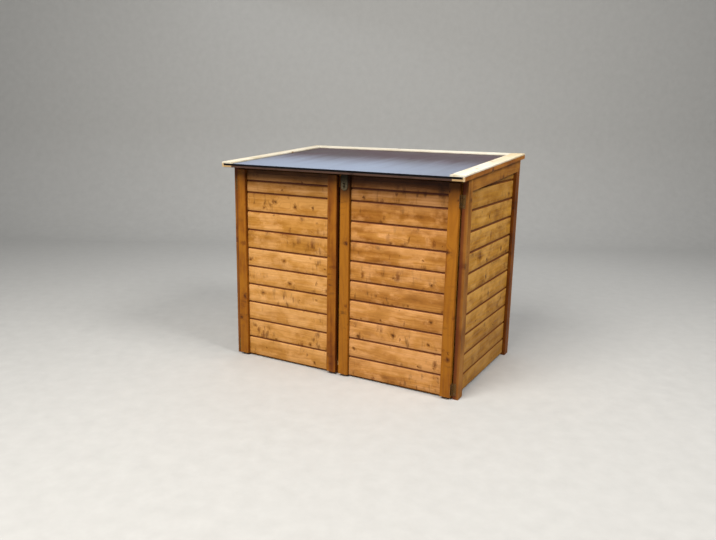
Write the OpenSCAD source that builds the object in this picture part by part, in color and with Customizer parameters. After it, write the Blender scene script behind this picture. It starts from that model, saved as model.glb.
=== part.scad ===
// Garden storage box: a pent-roofed wooden chest with a lift-up lid and two front doors.
// Frame: X to the right seen from the front, front faces -Y, Z up from the ground.
// The origin is on the ground under the centre of the lid. All sizes in millimetres.

/* [Carcass] */
// Width across the outer faces of the two side frames
body_w = 1320; // [1000:1:1700]
// Depth from the front face to the back face of the side frames
body_d = 800; // [650:1:1000]
// Height of the side frames at their front face
front_h = 1058; // [950:1:1150]
// Slope of the roof, rising to the back, in degrees
roof_slope = 3.8; // [3:0.1:5]
// Thickness of the side and back frame timbers
frame_t = 28; // [26:1:34]
// Width of the upright frame timbers seen from the side
side_stile_w = 58; // [50:1:70]
// Height of the sloping top rail of each side and of the level top rail at the back
top_rail_h = 72; // [60:1:85]
// Radius of the planed edges of all timbers
arris = 2; // [1:0.5:3]
// Width of the nailing battens inside the corners
corner_batten_w = 56; // [50:1:70]
// Thickness of the nailing battens inside the corners
corner_batten_t = 28; // [20:1:34]
// Height of the fixed rail behind the tops of the doors
front_rail_h = 90; // [70:1:110]
// Width of the upright in the middle of the back
back_stud_w = 44; // [35:1:60]

/* [Boards] */
// Height of one full board, from line to line
board_pitch = 100; // [90:1:115]
// Thickness of a board
board_t = 12; // [11:0.5:14]
// Height of the tongue behind the board above
lap = 12; // [9:0.5:14]
// Thickness of the tongue at the top of a board
tongue_t = 5.5; // [4.5:0.1:6]
// Radius of the hollow run along the top of a board
cove_r = 10; // [8:0.5:22]
// Open joint under the lower edge of each board
lip_gap = 4; // [1:0.5:5]
// Clearance between a tongue and the rebate that covers it
lap_clear = 0.5; // [0.3:0.1:0.8]
// Gap between the end of a board and the frame timber
end_gap = 3; // [1:0.5:4]
// Lower edge of the side and back boards above the ground
skirt_z = 16; // [12:1:24]
// Height of the lowest line of the side and back boards
side_line_z = 99; // [60:1:110]

/* [Doors] */
// Thickness of the door stiles
door_t = 28; // [26:1:34]
// Width of the door stiles
door_stile_w = 52; // [45:1:60]
// How far the doors stand forward of the side frames
door_proud = 21; // [18:1:24]
// Gap between the two doors
meeting_gap = 20; // [10:1:24]
// Gap between a door's outer edge and the side frame
hinge_gap = 6; // [5.5:0.1:8]
// Lower edge of the doors above the ground
door_low_z = 12; // [8:1:16]
// Top of the doors below the top of the side frames
door_drop = 28; // [26:1:36]
// Height of the lowest line of the door boards
door_line_z = 112; // [70:1:120]
// Height of the narrow board under the top one
narrow_board_h = 62; // [40:1:80]
// Thickness of the battens and ledges on the back of the doors
ledge_t = 18; // [14:1:18]
// Width of the upright door battens
door_batten_w = 40; // [35:1:50]
// Gap between the floor boards and the battens and ledges of the doors
batten_rise = 7; // [5:0.5:12]
// How much of an upright door batten lies behind the stile
batten_lap = 20; // [14:1:22]
// Height of the door ledges
ledge_h = 60; // [45:1:70]
// Gap between the back of the doors and the rail or floor behind them
stop_gap = 2; // [1.5:0.5:3]

/* [Lid] */
// Overhang of the lid in front of the side frames
over_front = 85; // [82:1:110]
// Overhang of the lid behind the back
over_back = 35; // [34:1:50]
// Overhang of the lid past each side frame
over_side = 12; // [10:0.5:16]
// Thickness of the roof panel
panel_t = 10; // [9:0.5:15]
// Width of the light battens on top of the lid
batten_w = 72; // [60:1:85]
// Thickness of the light battens on top of the lid
batten_t = 8; // [7:0.5:12]
// Thickness of the front and back rails under the roof panel
lid_rail_t = 10; // [9:0.5:12]
// Depth of the front rail under the roof panel
lid_front_rail_w = 60; // [58:1:66]
// Running gap between the lid and the sides and back of the carcass
lid_gap = 1; // [0.8:0.1:1.5]
// Width of the cleats inside the lid
cleat_w = 45; // [35:1:50]
// Thickness of the cleats inside the lid
cleat_t = 20; // [16:1:22]
// Clearance of the cleats inside the side boards
cleat_gap = 5; // [4:0.5:8]

// Clearance of cut timber ends from the sloping or level timber beside them
bevel_clear = 1; // [0.5:0.1:1.5]

/* [Floor] */
// Side of the square bearers under the floor
bearer = 45; // [40:1:60]
// Thickness of the floor boards
floor_t = 18; // [16:1:22]
// Number of floor boards
floor_count = 11; // [9:1:13]
// Gap between two floor boards
floor_gap = 5; // [3:0.5:8]

/* [Hinges] */
// Length of every hinge
hinge_l = 60; // [50:1:70]
// Outer radius of the hinge knuckles
knuckle_r = 3.25; // [3:0.05:3.4]
// Clearance between the knuckles and the timber beside them
knuckle_seat = 0.15; // [0.1:0.05:0.3]
// Thickness of the hinge leaves
leaf_t = 1.5; // [1.2:0.1:1.6]
// Radius of the hinge pins
pin_r = 1.5; // [1.4:0.1:1.6]
// Radial running clearance of the hinge pins
pin_clear = 0.06; // [0.03:0.01:0.09]
// Axial clearance between knuckles
knuckle_gap = 0.6; // [0.4:0.1:1]
// Width of the hinge leaf on the side frame
post_leaf_w = 19; // [17:1:25]
// Distance of a door's hinge leaf from the face of the door
leaf_inset = 1.8; // [1:0.1:3]
// Width of both leaves of a lid hinge
lid_leaf_w = 28; // [24:1:30]
// Middle of the lower door hinges above the ground
low_hinge_z = 50; // [45:1:90]
// Middle of the upper door hinges below the top of the doors
high_hinge_drop = 83; // [70:1:140]
// Distance of the outer lid hinges from the middle
lid_hinge_x = 430; // [300:1:450]
// Radius of the shank of a hinge screw
screw_r = 1.6; // [1.4:0.1:1.8]
// Radius of the countersunk head of a hinge screw
screw_head_r = 3.2; // [3:0.1:3.5]
// Length of a hinge screw
screw_l = 15; // [12:1:16]
// Length of a screw in the thin rails of the lid
lid_screw_l = 9.5; // [8:0.5:10]
// Clearance round a screw in its hole
screw_clear = 0.06; // [0.03:0.01:0.1]

/* [Hasp] */
// Width of the hasp strap
hasp_w = 35; // [30:1:40]
// Thickness of the hasp strap
hasp_t = 2; // [1.6:0.1:2.2]
// Length of the hasp strap below its pin
hasp_l = 82; // [78:1:86]
// Middle of the slot below the hasp pin
slot_drop = 56; // [54:0.5:58]
// Length of the slot in the strap
slot_l = 30; // [29:0.5:32]
// Width of the slot in the strap
slot_w = 7; // [6:0.5:8]
// Length of the hasp base under the lid
hasp_base_l = 34; // [30:1:36]
// Distance of the hasp base's screws from the hasp pin
hasp_screw_in = 22; // [18:0.5:25]
// Gap between the hanging strap and the door
hasp_gap = 3; // [2.5:0.5:4]
// Radius of the staple wire
wire_r = 2; // [1.6:0.1:2.2]
// Height of the staple over its two prongs
staple_h = 20; // [18:0.5:21]
// How far the staple stands out of the door
staple_out = 24; // [20:0.5:25]
// Width of the plate under the staple
staple_plate_w = 26; // [22:1:32]
// Height of the plate under the staple
staple_plate_h = 46; // [42:1:52]

/* [Bolt] */
// Radius of the bolt rod
rod_r = 4; // [3.5:0.1:4.2]
// Radial running clearance of the bolt rod
rod_clear = 0.08; // [0.04:0.01:0.09]
// Outer radius of the guides round the rod
guide_r = 7; // [6.5:0.1:7.5]
// Thickness of the bolt plate
bolt_plate_t = 2; // [1.5:0.1:2.2]
// Height of the feet of the guides under their round part
guide_foot = 3; // [2.5:0.1:4]
// Width of the bolt plate
bolt_plate_w = 26; // [22:1:27]
// Length of the bolt plate
bolt_plate_l = 84; // [80:1:95]
// Length of each guide
guide_l = 18; // [14:1:20]
// Distance of the bolt plate's screws from its ends
bolt_screw_in = 29; // [27:0.5:32]
// Distance of the bolt plate's screws from its long edges
bolt_screw_edge = 4.2; // [4:0.1:5]
// Length of the bolt rod below its lower guide
rod_tail = 11; // [8:0.5:14]
// Travel of the bolt
bolt_travel = 24; // [18:1:26]
// Gap between the drawn bolt and the rail above it
bolt_gap = 4; // [3:0.5:6]
// Clearance round the bolt in the rail
keeper_clear = 1.9; // [1.8:0.1:2.4]
// Gap between the knob of the drawn bolt and the guide it rests on
knob_gap = 0.2; // [0.1:0.1:0.3]
// Radius of the bolt's knob
knob_r = 3; // [2.5:0.1:3.5]
// Length of the bolt's knob from the middle of the rod
knob_l = 18; // [15:1:20]

/* [Hidden] */
$fn = 48;

// Colours
stained = "#b87333";
stained_dark = "#9c5a22";
raw_pine = "#e9d9b0";
panel_brown = "#4a3a3c";
zinc = "#7d8271";

// Places along Y
lid_run = over_front + body_d + over_back;
lid_lean = (panel_t + batten_t - lid_rail_t) * sin(roof_slope);
front_y = over_front - (lid_run - lid_lean) / 2;
back_y = front_y + body_d;
door_front_y = front_y - door_proud;
board_recess = frame_t - board_t;
board_face_y = door_front_y + door_t - board_t;
door_back_y = door_front_y + door_t;
stop_y = door_back_y + stop_gap;
inner_y = back_y - frame_t;

// Places along X
side_x = body_w / 2;
inner_x = side_x - frame_t;
door_edge_x = inner_x - hinge_gap;
meet_x = meeting_gap / 2;
door_w = door_edge_x - meet_x;
lid_x = side_x + over_side;
panel_x = side_x + lid_gap;

// Places along Z
function roof_z(y) = front_h + (y - front_y) * tan(roof_slope);
door_top_z = front_h - door_drop;
floor_z = bearer + floor_t;
front_rail_z = roof_z(stop_y) - front_rail_h;
back_rail_z = roof_z(back_y) - top_rail_h;
big = 3000;

// Hinge axes, as [x, y] for the right door. A leaf's back lies axis_off from its pin.
axis_off = knuckle_r + knuckle_seat;
door_axis = [door_edge_x + axis_off, front_y - axis_off];
door_leaf_w = door_proud - axis_off - leaf_inset;
door_hinge_bases = [low_hinge_z - hinge_l / 2, door_top_z - high_hinge_drop - hinge_l / 2];
lid_axis_y = back_y + axis_off;
lid_axis_z = roof_z(lid_axis_y) - (lid_rail_t + axis_off) / cos(roof_slope);
lid_hinge_starts = [for (x = [-lid_hinge_x, 0, lid_hinge_x]) x - hinge_l / 2];
hasp_x = meet_x + door_stile_w / 2;
hasp_axis_y = door_front_y - hasp_gap - axis_off;
hasp_axis_z = roof_z(hasp_axis_y) - (lid_rail_t + axis_off) / cos(roof_slope);
slot_z = hasp_axis_z - slot_drop;

// Bolt places on the left door
bolt_x = -(meet_x + (door_stile_w - batten_lap) / 2);
bolt_y = door_back_y + bolt_plate_t + guide_foot + guide_r;
bolt_top_z = front_rail_z - 2 * bolt_gap;
bolt_base_z = bolt_top_z - bolt_plate_l;
rod_top_z = front_rail_z - bolt_gap;
knob_z = bolt_base_z + guide_l + knob_r + knob_gap;

// Screws
leaf_screw_ends = hinge_l / 6;

// Timber section with planed edges, w along x and t along y
module planed_section(w, t, r = arris) {
    translate([r, 0]) square([w - 2 * r, t]);
    translate([0, r]) square([w, t - 2 * r]);
    for (x = [r, w - r], y = [r, t - r]) translate([x, y]) circle(r);
}

// Upright timber, w along x, t along y, standing at the origin
module upright(w, t, h) {
    linear_extrude(h) planed_section(w, t);
}

// Level timber along x, t along y and h along z
module beam(l, t, h) {
    rotate([90, 0, 90]) linear_extrude(l) planed_section(t, h);
}

// Flat timber whose length runs along y
module flat_along_y(w, l, t) {
    translate([0, l, 0]) rotate([90, 0, 0]) linear_extrude(l) planed_section(w, t);
}

// Places children in the plane of the roof: y up the slope from the front face of
// the side frames, z square to the slope from the tops of the side frames
module on_roof() {
    translate([0, front_y, front_h]) rotate([roof_slope, 0, 0]) children();
}

// Everything below a plane that lies a given distance under the roof plane
module below_roof(drop = 0) {
    on_roof() translate([-big / 2, -big / 2, -big - drop]) cube([big, big, big]);
}

module left_copy() {
    mirror([1, 0, 0]) children();
}

// Section of one board between two lines: x runs outward from the back of the board
module board_section(low, high, has_rebate, has_tongue) {
    cut_t = tongue_t + lap_clear;
    difference() {
        union() {
            translate([0, has_rebate ? low + lip_gap : low])
                square([board_t, high - low - (has_rebate ? lip_gap : 0)]);
            if (has_tongue) translate([0, high - 1]) square([tongue_t, lap + 1]);
        }
        if (has_rebate) translate([-1, low - 1]) square([cut_t + 1, lap + lap_clear + 1]);
        if (has_tongue) translate([tongue_t + cove_r, high]) circle(cove_r, $fn = 96);
    }
}

// Stack of lapped boards along x, outer face at y = 0 and facing -y.
// edges holds the lower edge, every line between two boards and the upper edge.
module board_stack(l, edges) {
    last = len(edges) - 2;
    for (i = [0:last])
        rotate([90, 0, 90])
            linear_extrude(l)
                translate([board_t, 0])
                    mirror([1, 0])
                        board_section(edges[i], edges[i + 1], i > 0, i < last);
}

// Lines of the side and back boards up to a given height
function side_edges(top) =
    [skirt_z, each [for (z = [side_line_z:board_pitch:top - lap - 1]) z], top];

// Lines of the door boards
full_line_count = floor((door_top_z - narrow_board_h - door_line_z) / board_pitch);
last_full_line = door_line_z + full_line_count * board_pitch;
door_edges = [
    door_low_z,
    each [for (i = [0:full_line_count]) door_line_z + i * board_pitch],
    each (last_full_line + narrow_board_h < door_top_z - lap ? [last_full_line + narrow_board_h] : []),
    door_top_z
];

// Countersunk screw along z, with the top of its head at z = 0 and its point below
module screw(clear = 0, l = screw_l) {
    translate([0, 0, -leaf_t]) cylinder(r1 = screw_r + clear, r2 = screw_head_r + clear, h = leaf_t);
    translate([0, 0, -l]) cylinder(r = screw_r + clear, h = l - leaf_t + 0.01);
}

// Spots of the screws on a hinge leaf, as [across the leaf, along the pin]
function leaf_spots(w) = [for (z = [leaf_screw_ends, hinge_l - leaf_screw_ends])
    [knuckle_r + (w - knuckle_r) / 2, z]];

// Screws of one leaf in the leaf's own frame
module leaf_screws(w, clear = 0, l = screw_l) {
    for (s = leaf_spots(w))
        translate([s[0], axis_off - leaf_t, s[1]]) rotate([90, 0, 0]) screw(clear, l);
}

// Lengths of pin that each leaf holds, as [start, end] pairs
knuckle_step = hinge_l / 3;
outer_knuckles = [[0, knuckle_step - knuckle_gap / 2], [2 * knuckle_step + knuckle_gap / 2, hinge_l]];
middle_knuckle = [[knuckle_step + knuckle_gap / 2, 2 * knuckle_step - knuckle_gap / 2]];

// Hinge leaf: pin along z at the origin, plate along +x on the +y side of the knuckles
module hinge_leaf(w, t, l, knuckles, bore_r) {
    free_x = knuckle_r + knuckle_gap;
    difference() {
        union() {
            translate([free_x, axis_off - t, 0]) cube([w - free_x, t, l]);
            for (k = knuckles) translate([0, 0, k[0]]) {
                cylinder(r = knuckle_r, h = k[1] - k[0]);
                translate([0, axis_off - t, 0]) cube([free_x + 1, t, k[1] - k[0]]);
            }
        }
        translate([0, 0, -1]) cylinder(r = bore_r, h = l + 2);
    }
}

// Butt hinge leaf with its screw holes
module butt_leaf(w, knuckles) {
    difference() {
        hinge_leaf(w, leaf_t, hinge_l, knuckles, pin_r + pin_clear);
        leaf_screws(w, screw_clear);
    }
}

module hinge_pin(l) {
    cylinder(r = pin_r, h = l);
}

// Frames of the hinge leaves on the right of the box
module at_post_leaves() {
    for (z = door_hinge_bases) translate([door_axis[0], door_axis[1], z]) children();
}

module at_door_leaves() {
    for (z = door_hinge_bases)
        translate([door_axis[0], door_axis[1], z]) rotate([0, 0, -90]) mirror([0, 1, 0]) children();
}

// Frames of the lid hinge leaves on the back of the carcass and under the lid
module at_back_leaves() {
    for (x = lid_hinge_starts)
        translate([x, lid_axis_y, lid_axis_z]) mirror([0, 1, 0]) rotate([0, 90, 0]) children();
}

module at_lid_leaves() {
    for (x = lid_hinge_starts)
        translate([x, lid_axis_y, lid_axis_z])
            rotate([roof_slope, 0, 0])
                rotate([90, 0, 90]) children();
}

// Frame of the hasp pin: z runs along the pin from its left end
module at_hasp_pin() {
    translate([hasp_x - hasp_w / 2, hasp_axis_y, hasp_axis_z]) children();
}

// Upright side timbers
module right_front_stile_body() {
    difference() {
        intersection() {
            translate([inner_x, front_y, 0]) upright(frame_t, side_stile_w, big);
            below_roof();
        }
        at_post_leaves() leaf_screws(post_leaf_w, screw_clear);
    }
}

module right_back_stile_body() {
    intersection() {
        translate([inner_x, back_y - side_stile_w, 0]) upright(frame_t, side_stile_w, big);
        below_roof(top_rail_h);
    }
}

// Sloping rail between the front stile and the back face, cut plumb at both ends
module right_top_rail_body() {
    rail_l = body_d / cos(roof_slope) + top_rail_h;
    intersection() {
        on_roof() translate([inner_x, 0, -top_rail_h]) flat_along_y(frame_t, rail_l, top_rail_h);
        translate([0, front_y + side_stile_w, 0]) cube([big, body_d - side_stile_w, big]);
    }
}

// Boards of the right side, cut to the underside of the sloping rail
module right_boards_body() {
    start = front_y + side_stile_w + end_gap;
    run = body_d - 2 * side_stile_w - 2 * end_gap;
    intersection() {
        translate([side_x - board_recess, start, 0])
            rotate([0, 0, 90]) board_stack(run, side_edges(roof_z(back_y)));
        below_roof(top_rail_h + bevel_clear);
    }
}

module front_left_stile() color(stained_dark) left_copy() right_front_stile_body();
module front_right_stile() color(stained_dark) right_front_stile_body();
module back_left_stile() color(stained_dark) left_copy() right_back_stile_body();
module back_right_stile() color(stained_dark) right_back_stile_body();
module left_top_rail() color(stained) left_copy() right_top_rail_body();
module right_top_rail() color(stained) right_top_rail_body();
module left_side_boards() color(stained) left_copy() right_boards_body();
module right_side_boards() color(stained) right_boards_body();

// Level rail along the top of the back, its upper edge cut to the roof slope
module back_top_rail() color(stained_dark) {
    difference() {
        intersection() {
            translate([-inner_x, inner_y, back_rail_z])
                beam(2 * inner_x, frame_t, top_rail_h + frame_t);
            below_roof();
        }
        at_back_leaves() leaf_screws(lid_leaf_w, screw_clear);
    }
}

// Fixed rail behind the tops of the doors: it stops the doors and takes the bolt
module front_top_rail() color(stained_dark) {
    difference() {
        intersection() {
            translate([-inner_x, stop_y, front_rail_z])
                beam(2 * inner_x, frame_t, front_rail_h + frame_t);
            below_roof(bevel_clear);
        }
        translate([bolt_x, bolt_y, front_rail_z - 1])
            cylinder(r = rod_r + keeper_clear, h = bolt_travel + bolt_gap);
    }
}

module back_stud() color(stained) {
    intersection() {
        translate([-back_stud_w / 2, inner_y - frame_t, floor_z]) upright(back_stud_w, frame_t, big);
        below_roof(bevel_clear);
    }
}

// Battens inside the corners, which the ends of the boards are nailed to
module corner_battens() color(stained) {
    front_y0 = stop_y + frame_t;
    back_y0 = inner_y - corner_batten_w;
    for (side = [0, 1]) mirror([side, 0, 0]) {
        translate([inner_x - corner_batten_t, front_y0, floor_z])
            upright(corner_batten_t, corner_batten_w, front_rail_z + front_rail_h / 2 - floor_z);
        translate([inner_x - corner_batten_t, back_y0, floor_z])
            upright(corner_batten_t, corner_batten_w, back_rail_z + top_rail_h / 2 - floor_z);
    }
}

module back_boards() color(stained) {
    translate([inner_x - end_gap, back_y - board_recess, 0])
        rotate([0, 0, 180]) board_stack(2 * (inner_x - end_gap), side_edges(back_rail_z - bevel_clear));
}

// Three bearers on the ground, between the side frames
module floor_bearers() color(stained_dark) {
    first = stop_y;
    last = inner_y - bearer;
    for (y = [first, (first + last) / 2, last])
        translate([-inner_x, y, 0]) beam(2 * inner_x, bearer, bearer);
}

module floor_boards() color(stained) {
    run = 2 * (inner_x - bevel_clear);
    w = (run - (floor_count - 1) * floor_gap) / floor_count;
    for (i = [0:floor_count - 1])
        translate([bevel_clear - inner_x + i * (w + floor_gap), stop_y, bearer])
            flat_along_y(w, inner_y - stop_y, floor_t);
}

// Hinges
module right_post_leaves() color(zinc) at_post_leaves() butt_leaf(post_leaf_w, outer_knuckles);
module left_post_leaves() color(zinc) left_copy() right_post_leaves();
module right_door_pins() color(zinc) at_post_leaves() hinge_pin(hinge_l);
module left_door_pins() color(zinc) left_copy() right_door_pins();
module right_door_leaves() color(zinc) at_door_leaves() butt_leaf(door_leaf_w, middle_knuckle);
module left_door_leaves() color(zinc) left_copy() right_door_leaves();
module back_hinge_leaves() color(zinc) at_back_leaves() butt_leaf(lid_leaf_w, outer_knuckles);
module lid_hinge_pins() color(zinc) at_back_leaves() hinge_pin(hinge_l);
module lid_hinge_leaves() color(zinc) at_lid_leaves() butt_leaf(lid_leaf_w, middle_knuckle);

module carcass_screws() color(zinc) {
    for (side = [0, 1]) mirror([side, 0, 0]) at_post_leaves() leaf_screws(post_leaf_w);
    at_back_leaves() leaf_screws(lid_leaf_w);
}

// Lid, in the plane of the roof
lid_y0 = -over_front / cos(roof_slope);
lid_l = lid_run / cos(roof_slope);
lid_back_rail_y = (body_d + lid_gap) / cos(roof_slope);
cleat_y0 = (stop_y + frame_t + cleat_gap - front_y) / cos(roof_slope);
cleat_l = (inner_y - frame_t - cleat_gap - front_y) / cos(roof_slope) - cleat_y0;

module roof_panel() color(panel_brown) {
    on_roof() translate([-panel_x, lid_y0, 0]) cube([2 * panel_x, lid_l, panel_t]);
}

module lid_front_rail() color(stained) {
    difference() {
        on_roof() translate([-panel_x, lid_y0, -lid_rail_t])
            beam(2 * panel_x, lid_front_rail_w, lid_rail_t);
        at_hasp_pin() hasp_base_screws(screw_clear);
    }
}

module lid_back_rail() color(stained) {
    difference() {
        on_roof() translate([-panel_x, lid_back_rail_y, -lid_rail_t])
            beam(2 * panel_x, lid_y0 + lid_l - lid_back_rail_y, lid_rail_t);
        at_lid_leaves() leaf_screws(lid_leaf_w, screw_clear, lid_screw_l);
    }
}

// Cleats under the panel, inside the side boards, which keep the lid flat
module lid_cleats() color(stained) {
    for (side = [0, 1]) mirror([side, 0, 0])
        on_roof() translate([inner_x - cleat_gap - cleat_w, cleat_y0, -cleat_t])
            flat_along_y(cleat_w, cleat_l, cleat_t);
}

module right_barge_board() color(stained) {
    on_roof() translate([panel_x, lid_y0, -lid_rail_t])
        flat_along_y(over_side - lid_gap, lid_l, lid_rail_t + panel_t);
}

module left_barge_board() left_copy() right_barge_board();

module right_batten() color(raw_pine) {
    on_roof() translate([lid_x - batten_w, lid_y0, panel_t]) flat_along_y(batten_w, lid_l, batten_t);
}

module left_batten() left_copy() right_batten();

module back_batten() color(raw_pine) {
    between = 2 * (lid_x - batten_w);
    on_roof() translate([-between / 2, lid_y0 + lid_l - batten_w, panel_t])
        beam(between, batten_w, batten_t);
}

// Hasp: base under the front rail of the lid, strap hanging in front of the door
hasp_third = hasp_w / 3;
hasp_outer = [[0, hasp_third - knuckle_gap / 2], [2 * hasp_third + knuckle_gap / 2, hasp_w]];
hasp_middle = [[hasp_third + knuckle_gap / 2, 2 * hasp_third - knuckle_gap / 2]];

module hasp_base_screws(clear = 0) {
    for (x = [hasp_third / 2, hasp_w - hasp_third / 2])
        rotate([roof_slope, 0, 0]) mirror([0, 1, 0]) rotate([90, 0, 90])
            translate([hasp_screw_in, axis_off - leaf_t, x]) rotate([90, 0, 0])
                screw(clear, lid_screw_l);
}

module hasp_base() color(zinc) {
    at_hasp_pin() difference() {
        rotate([roof_slope, 0, 0]) mirror([0, 1, 0]) rotate([90, 0, 90])
            hinge_leaf(hasp_base_l, leaf_t, hasp_w, hasp_outer, pin_r + pin_clear);
        hasp_base_screws(screw_clear);
    }
}

module hasp_pin() color(zinc) at_hasp_pin() rotate([0, 90, 0]) hinge_pin(hasp_w);

// Strap with a rounded end and the slot that drops over the staple
module hasp_strap() color(zinc) {
    round_r = hasp_w / 2;
    at_hasp_pin() rotate([0, 90, 0]) difference() {
        union() {
            hinge_leaf(hasp_l - round_r, hasp_t, hasp_w, hasp_middle, pin_r + pin_clear);
            translate([hasp_l - round_r, axis_off, round_r])
                rotate([90, 0, 0]) cylinder(r = round_r, h = hasp_t, $fn = 96);
        }
        translate([slot_drop, axis_off + 1, round_r]) rotate([90, 0, 0]) linear_extrude(hasp_t + 2)
            slot_outline();
    }
}

module slot_outline() {
    reach = (slot_l - slot_w) / 2;
    square([2 * reach, slot_w], center = true);
    for (x = [-reach, reach]) translate([x, 0]) circle(slot_w / 2);
}

// Staple: wire loop on a small plate on the right door's meeting stile
staple_bend = staple_h / 2 - wire_r;
staple_screw_z = (staple_plate_h + staple_h) / 4;

module staple_loop() {
    run = staple_out - wire_r - staple_bend;
    for (z = [-staple_bend, staple_bend])
        translate([0, 0, z]) rotate([90, 0, 0]) cylinder(r = wire_r, h = run);
    translate([0, -run, 0]) rotate([180, -90, 0])
        rotate_extrude(angle = 180) translate([staple_bend, 0]) circle(wire_r);
}

module hasp_staple() color(zinc) {
    translate([hasp_x, door_front_y, slot_z]) difference() {
        union() {
            translate([-staple_plate_w / 2, -leaf_t, -staple_plate_h / 2])
                cube([staple_plate_w, leaf_t, staple_plate_h]);
            staple_loop();
        }
        staple_screws(screw_clear);
    }
}

module staple_screws(clear = 0) {
    for (z = [-staple_screw_z, staple_screw_z])
        translate([0, -leaf_t, z]) rotate([90, 0, 0]) screw(clear);
}

// Doors
module right_hinge_stile_body() {
    difference() {
        translate([door_edge_x - door_stile_w, door_front_y, door_low_z])
            upright(door_stile_w, door_t, door_top_z - door_low_z);
        at_door_leaves() leaf_screws(door_leaf_w, screw_clear);
    }
}

module right_meeting_stile_body() {
    translate([meet_x, door_front_y, door_low_z])
        upright(door_stile_w, door_t, door_top_z - door_low_z);
}

module right_door_boards_body() {
    start = meet_x + door_stile_w + end_gap;
    translate([start, board_face_y, 0])
        board_stack(door_w - 2 * door_stile_w - 2 * end_gap, door_edges);
}

batten_inset = door_stile_w - batten_lap;
batten_low_z = floor_z + batten_rise;
batten_high_z = front_rail_z - bolt_gap;

// Upright battens that hold the boards to the stiles from behind
module right_door_battens_body() {
    for (x = [meet_x + batten_inset, door_edge_x - batten_inset - door_batten_w])
        translate([x, door_back_y, batten_low_z])
            upright(door_batten_w, ledge_t, batten_high_z - batten_low_z);
}

// Ledges across the back of a door, between its upright battens
module right_door_ledges_body() {
    start = meet_x + batten_inset + door_batten_w;
    for (z = [batten_low_z, batten_high_z - ledge_h])
        translate([start, door_back_y, z])
            beam(door_w - 2 * (batten_inset + door_batten_w), ledge_t, ledge_h);
}

module left_hinge_stile() color(stained_dark) left_copy() right_hinge_stile_body();
module right_hinge_stile() color(stained_dark) right_hinge_stile_body();
module left_door_boards() color(stained) left_copy() right_door_boards_body();
module right_door_boards() color(stained) right_door_boards_body();
module left_door_battens() color(stained) left_copy() right_door_battens_body();
module right_door_battens() color(stained) right_door_battens_body();
module left_door_ledges() color(stained) left_copy() right_door_ledges_body();
module right_door_ledges() color(stained) right_door_ledges_body();

module left_meeting_stile() color(stained_dark) {
    difference() {
        left_copy() right_meeting_stile_body();
        bolt_screws(screw_clear);
    }
}

module right_meeting_stile() color(stained_dark) {
    difference() {
        right_meeting_stile_body();
        translate([hasp_x, door_front_y, slot_z]) staple_screws(screw_clear);
    }
}

module left_door_screws() color(zinc) {
    left_copy() at_door_leaves() leaf_screws(door_leaf_w);
    bolt_screws();
}

module right_door_screws() color(zinc) {
    at_door_leaves() leaf_screws(door_leaf_w);
    translate([hasp_x, door_front_y, slot_z]) staple_screws();
}

module lid_screws() color(zinc) {
    at_lid_leaves() leaf_screws(lid_leaf_w, l = lid_screw_l);
    at_hasp_pin() hasp_base_screws();
}

// Bolt inside the left door: a plate with two guides, and the rod that slides in them
module bolt_plate() color(zinc) {
    difference() {
        union() {
            translate([bolt_x - bolt_plate_w / 2, door_back_y, bolt_base_z])
                cube([bolt_plate_w, bolt_plate_t, bolt_plate_l]);
            for (z = [bolt_base_z, bolt_top_z - guide_l]) translate([bolt_x, bolt_y, z]) {
                cylinder(r = guide_r, h = guide_l);
                translate([-guide_r, -guide_r - guide_foot, 0])
                    cube([2 * guide_r, guide_r + guide_foot, guide_l]);
            }
        }
        translate([bolt_x, bolt_y, bolt_base_z - 1]) cylinder(r = rod_r + rod_clear, h = bolt_plate_l + 2);
        bolt_screws(screw_clear);
    }
}

module bolt_screws(clear = 0) {
    for (x = [-1, 1], z = [bolt_base_z + bolt_screw_in, bolt_top_z - bolt_screw_in])
        translate([bolt_x + x * (bolt_plate_w / 2 - bolt_screw_edge), door_back_y + leaf_t, z])
            rotate([-90, 0, 0]) screw(clear);
}

module bolt_rod() color(zinc) {
    translate([bolt_x, bolt_y, bolt_base_z - rod_tail])
        cylinder(r = rod_r, h = rod_top_z - bolt_base_z + rod_tail);
    translate([bolt_x, bolt_y, knob_z]) rotate([-90, 0, 0]) cylinder(r = knob_r, h = knob_l);
}

front_left_stile();
front_right_stile();
back_left_stile();
back_right_stile();
left_top_rail();
right_top_rail();
back_top_rail();
front_top_rail();
back_stud();
corner_battens();
left_side_boards();
right_side_boards();
back_boards();
floor_bearers();
floor_boards();
left_post_leaves();
right_post_leaves();
back_hinge_leaves();
left_door_pins();
right_door_pins();
lid_hinge_pins();
carcass_screws();
roof_panel();
lid_front_rail();
lid_back_rail();
lid_cleats();
left_barge_board();
right_barge_board();
left_batten();
right_batten();
back_batten();
lid_hinge_leaves();
hasp_base();
hasp_pin();
lid_screws();
hasp_strap();
left_hinge_stile();
left_meeting_stile();
left_door_boards();
left_door_battens();
left_door_ledges();
left_door_leaves();
left_door_screws();
bolt_plate();
bolt_rod();
right_hinge_stile();
right_meeting_stile();
right_door_boards();
right_door_battens();
right_door_ledges();
right_door_leaves();
right_door_screws();
hasp_staple();
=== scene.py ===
import bpy, math
from mathutils import Vector, Matrix

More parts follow.
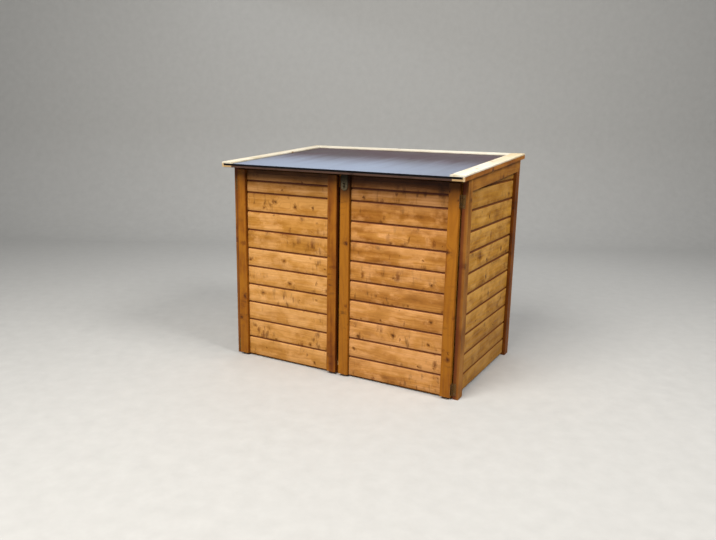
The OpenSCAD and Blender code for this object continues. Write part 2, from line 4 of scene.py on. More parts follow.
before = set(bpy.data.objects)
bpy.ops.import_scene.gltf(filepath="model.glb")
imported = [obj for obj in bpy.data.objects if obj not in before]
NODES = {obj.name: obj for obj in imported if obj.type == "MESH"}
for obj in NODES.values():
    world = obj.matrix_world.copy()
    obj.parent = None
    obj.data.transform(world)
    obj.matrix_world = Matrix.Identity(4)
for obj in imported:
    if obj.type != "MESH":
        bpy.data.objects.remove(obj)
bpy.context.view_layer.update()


# ---------------------------------------------------------------- node helpers
class Graph:
    """Short calls for one material's nodes. Wherever a value is asked for, a socket or a number will do."""

    def __init__(self, name):
        self.mat = bpy.data.materials.new(name)
        self.mat.use_nodes = True
        self.nt = self.mat.node_tree
        self.bsdf = self.nt.nodes["Principled BSDF"]
        # place and normal in the object's own frame, so that a material goes along when its part moves
        coord = self.node("TexCoord")
        self.place = coord.outputs["Object"]
        self.x, self.y, self.z = self.parts(self.place)
        self.nx, self.ny, self.nz = self.parts(coord.outputs["Normal"])

    def node(self, kind, **settings):
        n = self.nt.nodes.new("ShaderNode" + kind)
        for key, value in settings.items():
            setattr(n, key, value)
        return n

    def put(self, socket, value):
        if isinstance(value, bpy.types.NodeSocket):
            self.nt.links.new(value, socket)
        else:
            socket.default_value = value

    def parts(self, vector):
        n = self.node("SeparateXYZ")
        self.put(n.inputs[0], vector)
        return n.outputs[0], n.outputs[1], n.outputs[2]

    def math(self, op, *values):
        n = self.node("Math", operation=op)
        for socket, value in zip(n.inputs, values):
            self.put(socket, value)
        return n.outputs[0]

    def add(self, a, b):
        return self.math("ADD", a, b)

    def sub(self, a, b):
        return self.math("SUBTRACT", a, b)

    def mul(self, a, b):
        return self.math("MULTIPLY", a, b)

    def scale_shift(self, value, scale, shift):
        return self.math("MULTIPLY_ADD", value, scale, shift)

    def absolute(self, value):
        return self.math("ABSOLUTE", value)

    def xyz(self, *values):
        """A vector. A pair in it is a value and its scale."""
        n = self.node("CombineXYZ")
        for socket, value in zip(n.inputs, values):
            self.put(socket, self.mul(*value) if isinstance(value, tuple) else value)
        return n.outputs[0]

    def noise(self, vector, scale=1.0, detail=3.0, rough=0.5, w=None, distortion=0.0):
        n = self.node("TexNoise", noise_dimensions="3D" if w is None else "4D")
        self.put(n.inputs["Vector"], vector)
        if w is not None:
            self.put(n.inputs["W"], w)
        n.inputs["Scale"].default_value = scale
        n.inputs["Detail"].default_value = detail
        n.inputs["Roughness"].default_value = rough
        n.inputs["Distortion"].default_value = distortion
        return n.outputs[0]

    def scatter(self, x, y, randomness):
        """Points strewn over a plane: how far the nearest one is, and a chance from 0 to 1 of its own."""
        n = self.node("TexVoronoi", voronoi_dimensions="2D", feature="F1")
        n.inputs["Scale"].default_value = 1.0
        n.inputs["Randomness"].default_value = randomness
        self.put(n.inputs["Vector"], self.xyz(x, y, 0.0))
        draw = self.node("TexWhiteNoise", noise_dimensions="3D")
        self.put(draw.inputs["Vector"], n.outputs["Position"])
        return n.outputs["Distance"], draw.outputs["Value"]

    def ramp(self, value, *stops):
        n = self.node("ValToRGB")
        e = n.color_ramp.elements
        e[0].position, e[0].color = stops[0][0], (*stops[0][1], 1)
        e[1].position, e[1].color = stops[-1][0], (*stops[-1][1], 1)
        for at, colour in stops[1:-1]:
            e.new(at).color = (*colour, 1)
        self.put(n.inputs[0], value)
        return n.outputs[0]

    def span(self, value, lo, hi, to_lo=0.0, to_hi=1.0):
        """to_lo up to lo, to_hi from hi on, and a smooth step between them. lo may be above hi."""
        n = self.node("MapRange", interpolation_type="SMOOTHSTEP")
        for socket, v in zip(n.inputs, (value, lo, hi, to_lo, to_hi)):
            self.put(socket, v)
        return n.outputs[0]

    def mix(self, factor, a, b, blend="MIX"):
        n = self.node("Mix", data_type="RGBA", blend_type=blend)
        self.put(n.inputs[0], factor)
        for socket, v in ((n.inputs[6], a), (n.inputs[7], b)):
            self.put(socket, (*v, 1) if isinstance(v, tuple) else v)
        return n.outputs[2]

    def bump(self, height, strength, distance):
        n = self.node("Bump")
        n.inputs["Strength"].default_value = strength
        n.inputs["Distance"].default_value = distance
        self.put(n.inputs["Height"], height)
        return n.outputs[0]

    def edge_wear(self, radius):
        """1 on edges and corners, 0 on flats, from the difference that a bevel makes to the normal."""
        bevel = self.node("Bevel", samples=4)
        bevel.inputs["Radius"].default_value = radius
        dot = self.node("VectorMath", operation="DOT_PRODUCT")
        self.put(dot.inputs[0], bevel.outputs[0])
        self.put(dot.inputs[1], self.node("NewGeometry").outputs["Normal"])
        return self.span(dot.outputs["Value"], 0.995, 0.90)

    def front_face(self, amount=1.0):
        return self.span(self.ny, -0.5, -0.9, 0.0, amount)

    def set(self, **sockets):
        for key, value in sockets.items():
            self.put(self.bsdf.inputs[key.replace("_", " ")], value)


def srgb(r, g, b):
    return tuple(((c / 255 + 0.055) / 1.055) ** 2.4 if c > 10 else c / 255 / 12.92 for c in (r, g, b))


# -------------------------------------------------- places on the box, in metres
DOOR_FACE, SIDE_FACE, BACK_FACE = 0.37973, 0.644, 0.40927  # outer faces of the boards, from the middle
BOARD_PITCH = 0.1
DOOR_START, SIDE_START = 0.012, 0.099   # heights where the first boards start
DOOR_LAP = (0.0026, 0.0054)             # depths behind the face where the painted shade in the lap starts and is full
SIDE_LAP = (0.0006, 0.0030)
LAP_BOTTOM = (0.0118, 0.0112)           # depths of the lap's bottom, which the painted shade leaves out
RAIL_UNDERSIDE, ROOF_RISE = 1.01073, 0.06642  # underside of the sloping rails: height at y = 0, and rise
PANEL_RISE = 0.0664
DOOR_GAP = 0.010                        # half the gap between the doors
GAP_FRONT, GAP_DEEP = -0.401, -0.383    # y where the painted shade on the edges in that gap starts, and where it is darkest
HASP_STILE = (0.0, 0.010, 0.060, 0.075)       # x over which the grime and painted shade round the hasp come and go
CORNER_INNER, CORNER_OUTER = 0.643, 0.653     # x on the front faces of the corner timbers
DOORS_ONLY = (-0.36, -0.366)            # y in front of which only the doors lie
RAW_TIPS = 0.612                        # x beyond which the front rail's ends are light
YELLOWED = (-0.20, 0.42)                # y over which the right batten goes yellow
# heights over which a tone comes, from none to full
FADED_Z = (0.75, 0.15)
ROW_SHADE_FROM_Z, ROW_SHADE_TO_Z = (0.79, 0.85), (0.914, 0.908)
UNDER_LID_SHADE_Z, UNDER_LID_TOP_SHADE_Z = (0.86, 1.03), (0.985, 1.012)
CORNER_SHADE_Z = (0.94, 1.03)
STILE_GRIME_AND_SHADE_Z, HASP_SHADE_Z = (0.87, 0.99), (0.975, 1.028)
# how far wear reaches in from an edge
TIMBER_WEAR, PANEL_WEAR, METAL_WEAR = 0.0022, 0.0016, 0.0007


# ------------------------------------------------------------------------ wood
class Wood(Graph):
    """Planed softwood. self.base is its colour so far, and each method lays one more thing on it.
    grain, wide and deep name the axes along the fibres, across the face and through the
    thickness; pitch and start place the boards along wide."""

    def __init__(self, name, grain, wide, deep, colours, seed, pitch, start):
        super().__init__(name)
        axis = {"x": self.x, "y": self.y, "z": self.z}
        self.along, self.across, self.through = axis[grain], axis[wide], axis[deep]
        self.pale, self.mid, self.dark, self.knot = (colours[k] for k in ("pale", "mid", "dark", "knot"))
        self.light, self.olive = colours.get("light"), colours.get("olive")
        self.seed, self.pitch = seed, pitch
        # which board a point is on, a number of that board's own, and the height above its lower edge
        row = self.math("FLOOR", self.math("DIVIDE", self.sub(self.across, start), pitch))
        self.own = self.add(self.mul(row, 3.71), seed)
        self.local = self.sub(self.sub(self.across, start), self.mul(row, pitch))

    def lay(self, factor, colour, blend="MIX"):
        self.base = self.mix(factor, self.base, colour, blend)

    def find_knots(self, amount):
        """Round knots, one for a cell of the scatter, with some cells left empty."""
        ragged = self.noise(self.xyz((self.along, 60.0), (self.local, 60.0), 0.0), 1.0, 3, 0.6, w=self.own)
        ragged = self.scale_shift(ragged, 0.22, -0.11)
        distance, chance = self.scatter(
            self.add(self.scale_shift(self.along, 8.5, self.mul(self.own, 9.7)), ragged),
            self.sub(self.scale_shift(self.local, 9.5, self.mul(self.own, 5.3)), ragged), 0.9)
        there = self.math("GREATER_THAN", chance, 1.0 - 0.54 * amount)
        radius = self.scale_shift(chance, 0.150, -0.056)
        d = self.math("DIVIDE", distance, self.math("MAXIMUM", radius, 0.02))
        self.core = self.mul(self.span(d, 1.05, 0.45), there)
        self.ring = self.mul(self.span(d, 2.3, 0.9), there)
        self.pull = self.mul(self.span(d, 5.0, 0.5), there)

    def find_grain(self):
        """Growth rings of a board cut nearly flat, bent round the knots, then fibres, streaks and clouds."""
        along, across, through = self.along, self.across, self.through
        drift = self.noise(self.xyz((along, 1.6), (across, 7.0), through), 1.0, 3, 0.55, w=self.own)
        side = self.add(self.sub(self.local, self.pitch * 0.5), self.scale_shift(drift, 0.09, -0.045))
        depth = self.scale_shift(self.noise(self.xyz((along, 0.9), self.own, 0.0), 1.0, 1, 0.5), 0.06, 0.012)
        radius = self.math("SQRT", self.add(self.mul(side, side), self.mul(depth, depth)))
        bent = self.add(radius, self.mul(self.pull, 0.010))
        self.late = self.span(self.math("SINE", self.mul(bent, 900.0)), -0.1, 0.95)
        self.fibre = self.noise(self.xyz((along, 9.0), (across, 420.0), (through, 420.0)), 1.0, 4, 0.6, w=self.own)
        self.streak = self.noise(self.xyz((along, 1.7), (across, 46.0), (through, 30.0)), 1.0, 4, 0.6, w=self.own)
        self.cloud = self.noise(self.xyz((along, 6.5), (across, 13.0), (through, 9.0)), 1.0, 4, 0.62, w=self.own)
        self.where = self.noise(self.xyz((along, 3.1), (self.local, 8.0), 0.3), 1.0, 2, 0.5, w=self.own)

    def ground(self):
        """The board's own tone, from streaks, clouds and a step from board to board."""
        tone = self.node("TexWhiteNoise", noise_dimensions="1D")
        self.put(tone.inputs["W"], self.own)
        value = self.add(self.mul(self.streak, 0.42), self.mul(self.cloud, 0.58))
        value = self.add(value, self.scale_shift(tone.outputs["Value"], 0.16, -0.08))
        self.base = self.ramp(value, (0.32, self.dark), (0.43, self.mid), (0.53, self.pale),
                              (0.62, self.light or self.pale))

    def uneven_stain(self):
        """The stain took unevenly: salmon where it was thin, olive where it soaked in."""
        took = self.noise(self.xyz((self.along, 11.0), (self.across, 17.0), self.seed), 1.0, 4, 0.6, w=self.own)
        self.lay(self.span(took, 0.50, 0.70, 0.0, 0.24), self.olive)
        self.lay(self.span(took, 0.52, 0.36, 0.0, 0.60), self.light)

    def paler_below(self, amount):
        """The lower boards have faded more than the sheltered ones."""
        self.lay(self.span(self.z, *FADED_Z, 0.0, amount), self.light)

    def grain_lines(self):
        self.lay(self.mul(self.late, 0.19), self.dark)
        self.lay(self.span(self.fibre, 0.56, 0.80, 0.0, 0.30), self.dark)

    def blots(self, stain):
        """Broad dark blots, and short dark flecks where the stain went into resin and saw marks."""
        along, through = self.along, self.through
        blot = self.noise(self.xyz((along, 1.1), (self.across, 2.0), (through, 3.0)), 2.6, 5, 0.62, w=self.seed)
        self.lay(self.span(blot, 0.52, 0.72, 0.0, stain * 0.42), self.dark)
        fleck = self.noise(self.xyz((along, 44.0), (self.local, 15.0), (through, 12.0)), 1.0, 3, 0.55, w=self.own)
        here = self.math("MAXIMUM", self.span(self.where, 0.48, 0.64, 0.0, stain), self.mul(self.pull, 1.3 * stain))
        self.lay(self.mul(self.span(fleck, 0.53, 0.70), here), self.knot)

    def spike_knots(self, amount):
        """Branches cut lengthwise: dark strokes that stand across the board."""
        torn = self.noise(self.xyz((self.along, 170.0), (self.local, 90.0), 0.7), 1.0, 3, 0.65, w=self.own)
        torn = self.scale_shift(torn, 0.40, -0.20)
        distance, chance = self.scatter(
            self.add(self.scale_shift(self.along, 13.0, self.mul(self.own, 7.3)), torn),
            self.add(self.scale_shift(self.local, 6.0, self.mul(self.own, 3.9)), torn), 1.0)
        there = self.math("GREATER_THAN", chance, 1.0 - 0.42 * amount)
        reach = self.math("DIVIDE", distance, self.scale_shift(chance, 0.20, -0.03))
        mark = self.mul(self.span(reach, 1.35, 0.35), self.mul(there, self.span(self.where, 0.40, 0.52)))
        self.lay(self.mul(mark, 0.74), SPIKE_KNOT)

    def round_knots(self):
        self.lay(self.mul(self.ring, 0.62), self.dark)
        self.lay(self.mul(self.core, 0.76), self.knot)

    def rubbed_edges(self, wear):
        worn = self.mul(self.edge_wear(TIMBER_WEAR), wear)
        self.lay(self.mul(worn, self.span(self.cloud, 0.35, 0.7)), self.pale)

    def lap_lines(self, face, lap):
        """Painted light on each board: painted shade towards its lower edge, a painted highlight in the hollow
        under the next one, and painted shade in the lap. face is where the outer faces lie along deep."""
        low = self.sub(self.absolute(face), self.absolute(self.through))
        self.lay(self.span(self.local, 0.026, 0.002, 0.0, 0.38), self.dark)
        # painted highlight where the hollow faces up to the light
        hollow = self.span(self.local, 0.050, 0.088)
        self.lay(self.mul(hollow, self.span(self.cloud, 0.30, 0.62, 0.10, 0.56)), self.light)
        # painted shade in the lap, deepest under the lip of the board above
        lap_shade_mask = self.mul(self.span(low, *lap), self.span(low, *LAP_BOTTOM))
        self.lay(self.mul(lap_shade_mask, 0.90), LAP_SHADE)

    def corner_front(self, amount):
        """Painted shade on the front faces of the corner timbers: dark under the lid, and red-brown by the doors,
        whose stiles shade them.
        """
        self.lay(self.mul(self.front_face(), self.span(self.z, *CORNER_SHADE_Z, 0.0, 0.62)), LID_SHADE)
        inner = self.span(self.absolute(self.through), CORNER_OUTER, CORNER_INNER, 0.5, 1.0)
        self.lay(self.mul(self.mul(self.front_face(), inner), amount), RED_SHADE)

    def gap_edges(self):
        """Painted shade on the edges that face each other across the gap between the doors: red-brown, and darkest
        deep in the gap.
        """
        facing = self.span(self.absolute(self.nx), 0.6, 0.9)
        inside = self.mul(facing, self.span(self.absolute(self.x), DOOR_GAP + 0.004, DOOR_GAP + 0.001))
        self.lay(self.mul(inside, self.span(self.y, GAP_FRONT, GAP_DEEP, 0.05, 0.85)), GAP_SHADE)

    def golden_back(self, amount):
        """The right batten has gone yellow towards the back."""
        self.lay(self.mul(self.span(self.y, *YELLOWED), self.span(self.x, 0.0, 0.1, 0.0, amount)), GOLDEN)

    def raw_tips(self):
        """The light ends of the front rail under the battens."""
        tips = self.mul(self.span(self.absolute(self.x), RAW_TIPS - 0.0015, RAW_TIPS), self.front_face())
        self.lay(self.mul(tips, 0.85), RAW_TIP)

    def raw_end(self):
        self.lay(self.front_face(0.85), RAW_END)

    def under_rail(self):
        """Painted shadow under the sloping rail, painted shade on the boards below it, and boards darker near the
        ground.
        """
        drop = self.sub(self.scale_shift(self.y, ROOF_RISE, RAIL_UNDERSIDE), self.across)
        # painted shadow under the rail's edge
        self.lay(self.span(drop, 0.015, 0.006, 0.0, 0.7), RAIL_SHADOW)
        # painted shade on the boards below the rail
        self.lay(self.span(drop, 0.24, 0.02, 0.0, 0.34), self.dark)
        self.lay(self.span(self.across, 0.50, 0.05, 0.0, 0.34), self.dark)

    def shaded_row(self, amount):
        """Painted shade: the first full board from the top is darker than the ones below it, where the lid's shadow
        reaches down.
        """
        row = self.mul(self.span(self.across, *ROW_SHADE_FROM_Z), self.span(self.across, *ROW_SHADE_TO_Z, 0.0, amount))
        self.lay(row, ROW_SHADE, "MULTIPLY")

    def under_lid(self, amount, left_amount=None):
        """Painted shade: the doors darken towards the top, where the lid's overhang casts its shadow."""
        if left_amount is not None:
            amount = self.span(self.x, -0.012, 0.0, left_amount, amount)
        # painted shadow of the overhang, and darker still at the very top
        high = self.mul(self.span(self.z, *UNDER_LID_SHADE_Z), self.span(self.y, *DOORS_ONLY))
        self.lay(self.mul(high, amount), UNDER_LID_SHADE, "MULTIPLY")
        top = self.mul(self.span(self.z, *UNDER_LID_TOP_SHADE_Z, 0.0, 0.6), self.span(self.y, *DOORS_ONLY))
        self.lay(self.mul(top, amount), UNDER_LID_TOP_SHADE, "MULTIPLY")

    def hasp_grime_and_shade(self):
        """The right meeting stile darkens round the hasp: grime, and painted shade where the lid's shadow reaches
        lower.
        """
        left, from_x, to_x, right = HASP_STILE
        grime = self.mul(self.span(self.x, left, from_x), self.span(self.x, right, to_x))
        self.lay(self.mul(grime, self.span(self.z, *STILE_GRIME_AND_SHADE_Z, 0.0, 0.86)), GRIME_AND_SHADE, "MULTIPLY")

    def finish(self, rough):
        gloss = self.add(self.span(self.late, 0.0, 1.0, rough + 0.08, rough - 0.06),
                         self.scale_shift(self.fibre, 0.20, -0.10))
        height = self.add(self.mul(self.late, 0.55), self.add(self.mul(self.fibre, 0.6), self.mul(self.core, -0.8)))
        self.set(Base_Color=self.base, Roughness=gloss, Normal=self.bump(height, 0.35, 0.0009))
        self.bsdf.inputs["Specular IOR Level"].default_value = 0.20
        return self.mat


SPIKE_KNOT = srgb(100, 47, 1)
# painted shade in the laps
LAP_SHADE = srgb(98, 38, 8)
LID_SHADE = srgb(52, 26, 12)
# painted shade on the corner timbers by the doors
RED_SHADE = srgb(86, 30, 10)
# painted shade on the edges in the gap between the doors
GAP_SHADE = srgb(122, 60, 18)
GOLDEN = srgb(206, 174, 112)
RAW_TIP = srgb(186, 152, 104)
RAW_END = srgb(196, 172, 132)
# painted shadow under the sloping rails
RAIL_SHADOW = srgb(96, 40, 12)
# these four multiply the colour under them
# painted shade on the top full board
ROW_SHADE = srgb(214, 202, 150)
# painted shade under the lid's overhang
UNDER_LID_SHADE = srgb(106, 66, 8)
UNDER_LID_TOP_SHADE = srgb(60, 24, 2)
# grime and painted shade round the hasp
GRIME_AND_SHADE = srgb(118, 104, 90)


def wood(name, grain, wide, deep, colours, seed, pitch=BOARD_PITCH, start=DOOR_START, knots=1.0, stain=0.5,
         rough=0.58, wear=0.35, spikes=0.0, paler_below=0.0, face=None, lap=DOOR_LAP, marks=()):
    """A timber's material. Each of marks is a method of Wood and what it is given."""
    w = Wood(name, grain, wide, deep, colours, seed, pitch, start)
    w.find_knots(knots)
    w.find_grain()
    w.ground()
    if w.olive:
        w.uneven_stain()
    if paler_below:
        w.paler_below(paler_below)
    w.grain_lines()
    w.blots(stain)
    if spikes:
        w.spike_knots(spikes)
    w.round_knots()
    w.rubbed_edges(wear)
    if face:
        w.lap_lines(face, lap)
    for mark, *given in marks:
        mark(w, *given)
    return w.finish(rough)


# ------------------------------------------------------------- panel and metal
def film_board(name):
    """Smooth phenolic film on plywood: satin, with faint ripples of the veneer and dust."""
    g = Graph(name)
    x, y, z = g.x, g.y, g.z
    veneer = g.noise(g.xyz((x, 2.2), (y, 38.0), z), 1.0, 4, 0.6)
    cloud = g.noise(g.place, 3.4, 5, 0.6)
    dust = g.noise(g.place, 55.0, 6, 0.7)
    scuff = g.noise(g.xyz((x, 14.0), (y, 3.0), z), 2.0, 6, 0.72, distortion=0.6)
    base = g.ramp(cloud, (0.30, srgb(43, 23, 28)), (0.50, srgb(56, 33, 40)), (0.72, srgb(72, 46, 52)))
    base = g.mix(g.span(veneer, 0.35, 0.75, 0.0, 0.30), base, srgb(48, 27, 25))
    base = g.mix(g.span(dust, 0.56, 0.80, 0.0, 0.16), base, srgb(140, 128, 122))

    # a painted reflection of the bluish sky, broken up by dust streaks left by rain, that gets stronger towards the
    # low front edge
    run = g.noise(g.xyz((x, 24.0), (y, 1.8), 0.2), 1.0, 5, 0.62, distortion=0.3)
    dust_and_reflection = g.add(g.span(y, 0.40, -0.50), g.scale_shift(cloud, 0.22, -0.11))
    dust_and_reflection = g.add(dust_and_reflection, g.scale_shift(run, 0.44, -0.22))
    dust_and_reflection = g.mul(g.span(dust_and_reflection, 0.18, 1.00), g.span(g.nz, 0.2, 0.6))
    # it is weaker towards the two sides, most of all towards the right one
    dust_and_reflection = g.mul(dust_and_reflection, g.span(x, 0.10, 0.66, 1.0, 0.60))
    dust_and_reflection = g.mul(dust_and_reflection, g.span(x, -0.30, -0.66, 1.0, 0.86))
    # painted sky reflection and dust, mixed into the colour
    base = g.mix(g.mul(dust_and_reflection, 0.48), base, srgb(148, 170, 200))

    # the sawn edge of the sheet: a nearly black sealing coat over the plies
    cut = g.span(g.absolute(g.nz), 0.60, 0.35)
    ply = g.math("SINE", g.mul(g.sub(z, g.mul(y, PANEL_RISE)), 4400.0))
    edge = g.mix(g.span(ply, -0.4, 0.7, 0.0, 0.35), srgb(11, 8, 9), srgb(24, 16, 14))
    base = g.mix(cut, base, edge)
    worn = g.mul(g.edge_wear(PANEL_WEAR), g.span(cut, 0.0, 0.5, 1.0, 0.0))
    base = g.mix(g.mul(worn, g.span(scuff, 0.45, 0.75, 0.0, 0.4)), base, srgb(132, 112, 104))

    rough = g.add(g.span(cloud, 0.3, 0.7, 0.38, 0.48), g.span(scuff, 0.55, 0.8, 0.0, 0.14))
    rough = g.add(rough, g.mul(cut, 0.3))
    height = g.add(g.mul(veneer, 0.8), g.mul(dust, 0.12))
    g.set(Base_Color=base, Roughness=rough, Normal=g.bump(height, 0.22, 0.0012),
          Specular_IOR_Level=g.scale_shift(dust_and_reflection, 0.92, 0.115))
    g.bsdf.inputs["Specular Tint"].default_value = (0.78, 0.89, 1.0, 1)
    return g.mat


def zinc(name, dull, mid, bright, top_shade=0.0):
    """Zinc-plated steel gone brown, with dull patches, grime, rub marks and a little rust, and, where asked,
    painted shade over its upper part.
    """
    g = Graph(name)
    spangle = g.node("TexVoronoi")
    spangle.inputs["Scale"].default_value = 210.0
    g.put(spangle.inputs["Vector"], g.place)
    tint = g.parts(spangle.outputs["Color"])[0]
    patch = g.noise(g.place, 90.0, 5, 0.65)
    grime = g.noise(g.place, 34.0, 5, 0.7)
    rub = g.noise(g.xyz((g.x, 900.0), (g.y, 900.0), (g.z, 60.0)), 1.0, 3, 0.6)
    base = g.ramp(patch, (0.30, dull), (0.52, mid), (0.72, bright))
    base = g.mix(g.mul(tint, 0.20), base, bright)
    base = g.mix(g.span(grime, 0.54, 0.78, 0.0, 0.75), base, srgb(58, 50, 36))
    rust = g.span(g.mul(grime, patch), 0.33, 0.44, 0.0, 0.7)
    base = g.mix(rust, base, srgb(120, 66, 30))
    base = g.mix(g.mul(g.edge_wear(METAL_WEAR), 0.5), base, srgb(176, 178, 164))
    if top_shade:
        # painted shade on the upper half, which lies in the lid's shadow
        base = g.mix(g.span(g.z, *HASP_SHADE_Z, 0.0, top_shade), base, srgb(12, 8, 5))
    rough = g.add(g.span(patch, 0.3, 0.7, 0.36, 0.56), g.mul(rust, 0.3))
    metal = g.span(g.math("MAXIMUM", rust, g.span(grime, 0.6, 0.8)), 0.0, 0.8, 0.9, 0.15)
    height = g.add(g.mul(rub, 0.3), g.add(g.mul(tint, 0.12), rust))
    g.set(Base_Color=base, Roughness=rough, Metallic=metal, Normal=g.bump(height, 0.3, 0.0003))
    return g.mat


# ------------------------------------------------------------------- materials
def palette(pale, mid, dark, knot, **more):
    return {key: srgb(*rgb) for key, rgb in dict(pale=pale, mid=mid, dark=dark, knot=knot, **more).items()}


LEFT_DOOR = palette((196, 138, 66), (174, 117, 42), (134, 81, 13), (78, 34, 0),
                    light=(220, 164, 100), olive=(152, 104, 20))
RIGHT_DOOR = palette((186, 127, 56), (162, 103, 34), (118, 66, 8), (64, 26, 0),
                     light=(216, 157, 96), olive=(140, 90, 16))
SIDE = palette((199, 143, 52), (176, 120, 34), (119, 71, 9), (66, 33, 1),
               light=(214, 162, 82), olive=(140, 94, 16))
FRAME = palette((157, 97, 16), (138, 79, 9), (104, 51, 4), (66, 30, 6))
SIDE_FRAME = palette((168, 112, 38), (146, 92, 26), (112, 64, 12), (66, 32, 8))
# the back stiles are a darker copy of the side frame, as painted shade
SHADED_BACK_FRAME = palette((134, 76, 8), (112, 58, 4), (84, 40, 2), (54, 26, 8))
BARGE = palette((170, 108, 38), (144, 86, 24), (106, 56, 10), (60, 30, 12))
RAW = palette((218, 212, 196), (206, 197, 176), (182, 168, 138), (140, 102, 62))
INNER = palette((224, 190, 134), (206, 166, 108), (170, 124, 70), (104, 64, 34))
# the lid's rails are darkened as painted shade under the panel's edge
SHADED_LID_RAIL = palette((76, 53, 42), (60, 40, 31), (40, 25, 19), (32, 20, 14))

DOOR_BOARDS = dict(face=DOOR_FACE, stain=0.7, paler_below=0.14)
SIDE_BOARDS = dict(start=SIDE_START, face=SIDE_FACE, lap=SIDE_LAP, spikes=0.5, marks=[(Wood.under_rail,)])
BATTEN = dict(pitch=0.5, knots=0.5, stain=0.12, wear=0.3, rough=0.62)
STILE_SHELTER, LEFT_SHARE = 0.7, 0.62   # the lid shades the left door's stiles less
STILE_MARKS = [(Wood.gap_edges,), (Wood.under_lid, STILE_SHELTER, LEFT_SHARE * STILE_SHELTER), (Wood.hasp_grime_and_shade,)]

mats = {
    "left_door": wood("left_door_boards_stain", "x", "z", "y", LEFT_DOOR, seed=1.3, spikes=1.2,
                      marks=[(Wood.shaded_row, 0.7), (Wood.under_lid, 0.8)], **DOOR_BOARDS),
    "right_door": wood("right_door_boards_stain", "x", "z", "y", RIGHT_DOOR, seed=14.9, knots=1.3, spikes=1.5,
                       marks=[(Wood.shaded_row, 0.45), (Wood.under_lid, 0.9)], **DOOR_BOARDS),
    "left_side": wood("left_side_boards_stain", "y", "z", "x", SIDE, seed=31.2, **SIDE_BOARDS),
    "right_side": wood("right_side_boards_stain", "y", "z", "x", SIDE, seed=47.5, **SIDE_BOARDS),
    "back": wood("back_boards_stain", "x", "z", "y", SIDE, seed=63.1, start=SIDE_START, face=BACK_FACE),
    "stile": wood("stile_stain", "z", "x", "y", FRAME, seed=5.7, pitch=0.0575, start=0.0, knots=1.1,
                  stain=0.7, spikes=0.6, marks=STILE_MARKS),
    "side_stile": wood("side_stile_stain", "z", "y", "x", SIDE_FRAME, seed=22.4, pitch=0.4, start=0.0,
                       knots=0.5, marks=[(Wood.corner_front, 0.8)]),
    "back_stile": wood("back_stile_stain", "z", "y", "x", SHADED_BACK_FRAME, seed=27.8, pitch=0.4, start=0.0, knots=0.5),
    "side_rail": wood("side_rail_stain", "y", "z", "x", SIDE_FRAME, seed=71.8, pitch=0.5, start=0.9, knots=0.6),
    "cross_rail": wood("cross_rail_stain", "x", "z", "y", FRAME, seed=82.6, pitch=0.2, start=0.0, knots=0.8),
    "inner": wood("inner_timber", "z", "x", "y", INNER, seed=91.0, pitch=0.2, start=0.0, stain=0.2, wear=0.15),
    "ledge": wood("ledge_timber", "x", "z", "y", INNER, seed=96.3, pitch=0.3, start=0.0, stain=0.2, wear=0.15),
    "floor": wood("floor_timber", "y", "x", "z", INNER, seed=103.4, pitch=0.1197, start=-0.632, stain=0.4,
                  wear=0.2),
    "cleat": wood("cleat_timber", "y", "x", "z", INNER, seed=108.2, pitch=0.6, start=-0.9, knots=0.8,
                  stain=0.2, wear=0.15),
    "batten": wood("raw_batten", "y", "x", "z", RAW, seed=113.9, start=-1.0, marks=[(Wood.golden_back, 0.5)],
                   **BATTEN),
    "back_batten": wood("raw_back_batten", "x", "y", "z", RAW, seed=121.7, start=0.0, **BATTEN),
    "lid_rail": wood("lid_rail_stain", "x", "y", "z", SHADED_LID_RAIL, seed=131.1, pitch=0.5, start=-0.7, knots=0.7,
                     marks=[(Wood.raw_tips,)]),
    "barge": wood("barge_board_stain", "y", "z", "x", BARGE, seed=139.6, pitch=0.6, start=0.8, knots=0.6,
                  marks=[(Wood.raw_end,)]),
    "film": film_board("film_faced_board"),
    "hinge": zinc("hinge_zinc", srgb(88, 62, 30), srgb(112, 80, 40), srgb(132, 100, 58)),
    "hasp": zinc("hasp_zinc", srgb(84, 74, 55), srgb(108, 96, 73), srgb(134, 121, 96), top_shade=0.85),
}

# the material of each node; a node that isn't named here is metal
USE = {
    "left_door_boards": "left_door", "right_door_boards": "right_door",
    "left_side_boards": "left_side", "right_side_boards": "right_side", "back_boards": "back",
    "front_left_stile": "side_stile", "front_right_stile": "side_stile",
    "back_left_stile": "back_stile", "back_right_stile": "back_stile",
    "left_top_rail": "side_rail", "right_top_rail": "side_rail",
    "back_top_rail": "cross_rail", "front_top_rail": "cross_rail", "floor_bearers": "cross_rail",
    "left_hinge_stile": "stile", "left_meeting_stile": "stile",
    "right_hinge_stile": "stile", "right_meeting_stile": "stile",
    "back_stud": "inner", "corner_battens": "inner",
    "left_door_battens": "inner", "right_door_battens": "inner",
    "left_door_ledges": "ledge", "right_door_ledges": "ledge",
    "floor_boards": "floor", "lid_cleats": "cleat",
    "left_batten": "batten", "right_batten": "batten", "back_batten": "back_batten",
    "lid_front_rail": "lid_rail", "lid_back_rail": "lid_rail",
    "left_barge_board": "barge", "right_barge_board": "barge", "roof_panel": "film",
}

for name, obj in NODES.items():
    mat = mats[USE.get(name, "hasp" if name.startswith("hasp") else "hinge")]
    if not obj.material_slots:
        obj.data.materials.append(mat)
    for slot in obj.material_slots:
        slot.material = mat


# ------------------------------------------------------------- floor and light
PHOTO_AZIMUTH = 29


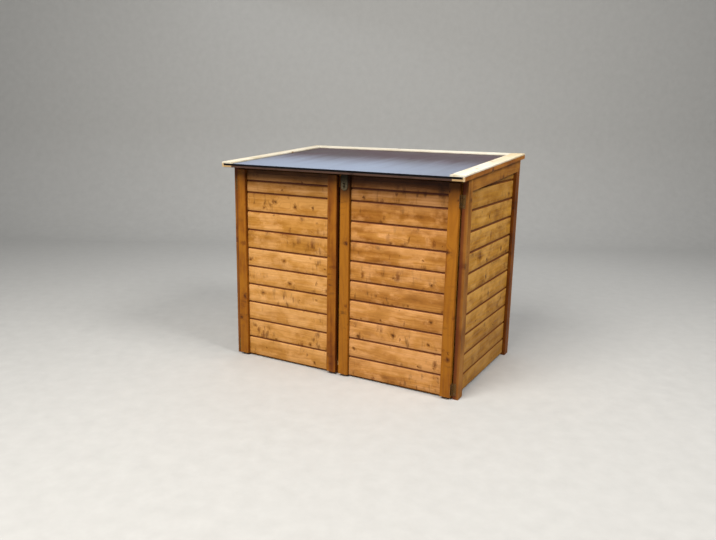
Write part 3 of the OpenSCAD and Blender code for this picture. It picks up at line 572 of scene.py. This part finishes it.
def floor():
    """A pale floor that curves up into a wall behind the box, square to the camera's azimuth."""
    reach, back, top, bend, steps = 9.0, 4.5, 5.0, 1.2, 16
    half_width, below_feet = reach * 1.4, 0.0006
    curve = [(back - bend + bend * math.sin(a), bend - bend * math.cos(a))
             for a in (math.pi / 2 * i / steps for i in range(steps + 1))]
    profile = [(-reach, 0.0)] + curve + [(back, top)]
    verts, faces = [], []
    for y, z in profile:
        verts += [(-half_width, y, z - below_feet), (half_width, y, z - below_feet)]
    for i in range(len(profile) - 1):
        faces.append((2 * i, 2 * i + 1, 2 * i + 3, 2 * i + 2))
    mesh = bpy.data.meshes.new("studio_floor")
    mesh.from_pydata(verts, [], faces)
    mesh.polygons.foreach_set("use_smooth", [True] * len(mesh.polygons))
    o = bpy.data.objects.new("studio_floor", mesh)
    bpy.context.scene.collection.objects.link(o)
    g = Graph("pale_floor")
    n = g.noise(g.place, 14.0, 5, 0.6)
    g.set(Base_Color=g.ramp(n, (0.3, srgb(180, 179, 176)), (0.7, srgb(187, 186, 183))),
          Roughness=g.span(n, 0.3, 0.7, 0.75, 0.9), Normal=g.bump(n, 0.1, 0.002))
    mesh.materials.append(g.mat)
    o.rotation_euler = (0, 0, math.radians(PHOTO_AZIMUTH))


def area(name, place, aim, size, power, colour):
    light = bpy.data.lights.new(name, "AREA")
    light.shape = "RECTANGLE"
    light.size, light.size_y = size
    light.energy = power
    light.color = colour
    o = bpy.data.objects.new(name, light)
    o.location = place
    o.rotation_mode = "QUATERNION"
    o.rotation_quaternion = (Vector(aim) - Vector(place)).to_track_quat("-Z", "Y")
    bpy.context.scene.collection.objects.link(o)


floor()
world = bpy.data.worlds.new("soft_sky")
bpy.context.scene.world = world
world.use_nodes = True
sky = world.node_tree.nodes["Background"]
sky.inputs["Color"].default_value = (0.86, 0.92, 1.0, 1)
sky.inputs["Strength"].default_value = 0.17
area("key", (-0.2, -3.1, 4.1), (0, -0.2, 0.6), (2.4, 2.8), 272, (1.0, 0.97, 0.92))
area("side", (3.5, -0.7, 4.5), (0.6, 0, 0.5), (1.6, 1.6), 190, (1.0, 0.98, 0.95))
area("fill", (-3.6, -4.0, 1.6), (0, 0, 0.5), (2.6, 2.0), 10, (0.95, 0.97, 1.0))
area("sky_strip", (-1.4, 3.6, 3.4), (0, 0.0, 1.1), (5.0, 1.2), 34, (0.86, 0.92, 1.0))

# ---------------------------------------------------------------------- camera
# The place, lens and turn come from a pinhole camera fitted to the photo's lines. The turn is
# a rotation vector from the world to a frame with x right, y down and z forward.
FITTED_PLACE = (1.6818, -3.2333, 1.3005)
FITTED_LENS = 33.872
FITTED_TURN = Vector((1.744, 0.465, -0.348))

cam_data = bpy.data.cameras.new("camera")
cam = bpy.data.objects.new("camera", cam_data)
bpy.context.scene.collection.objects.link(cam)
cam_data.sensor_width = 36.0
cam_data.lens = FITTED_LENS
cam.location = FITTED_PLACE
world_to_fitted = Matrix.Rotation(FITTED_TURN.length, 3, FITTED_TURN.normalized())
fitted_to_blender = Matrix(((1, 0, 0), (0, -1, 0), (0, 0, -1)))
cam.rotation_mode = "QUATERNION"
cam.rotation_quaternion = (fitted_to_blender @ world_to_fitted).transposed().to_quaternion()
cam_data.clip_start, cam_data.clip_end = 0.05, 60
bpy.context.scene.camera = cam
bpy.context.scene.view_settings.view_transform = "Standard"
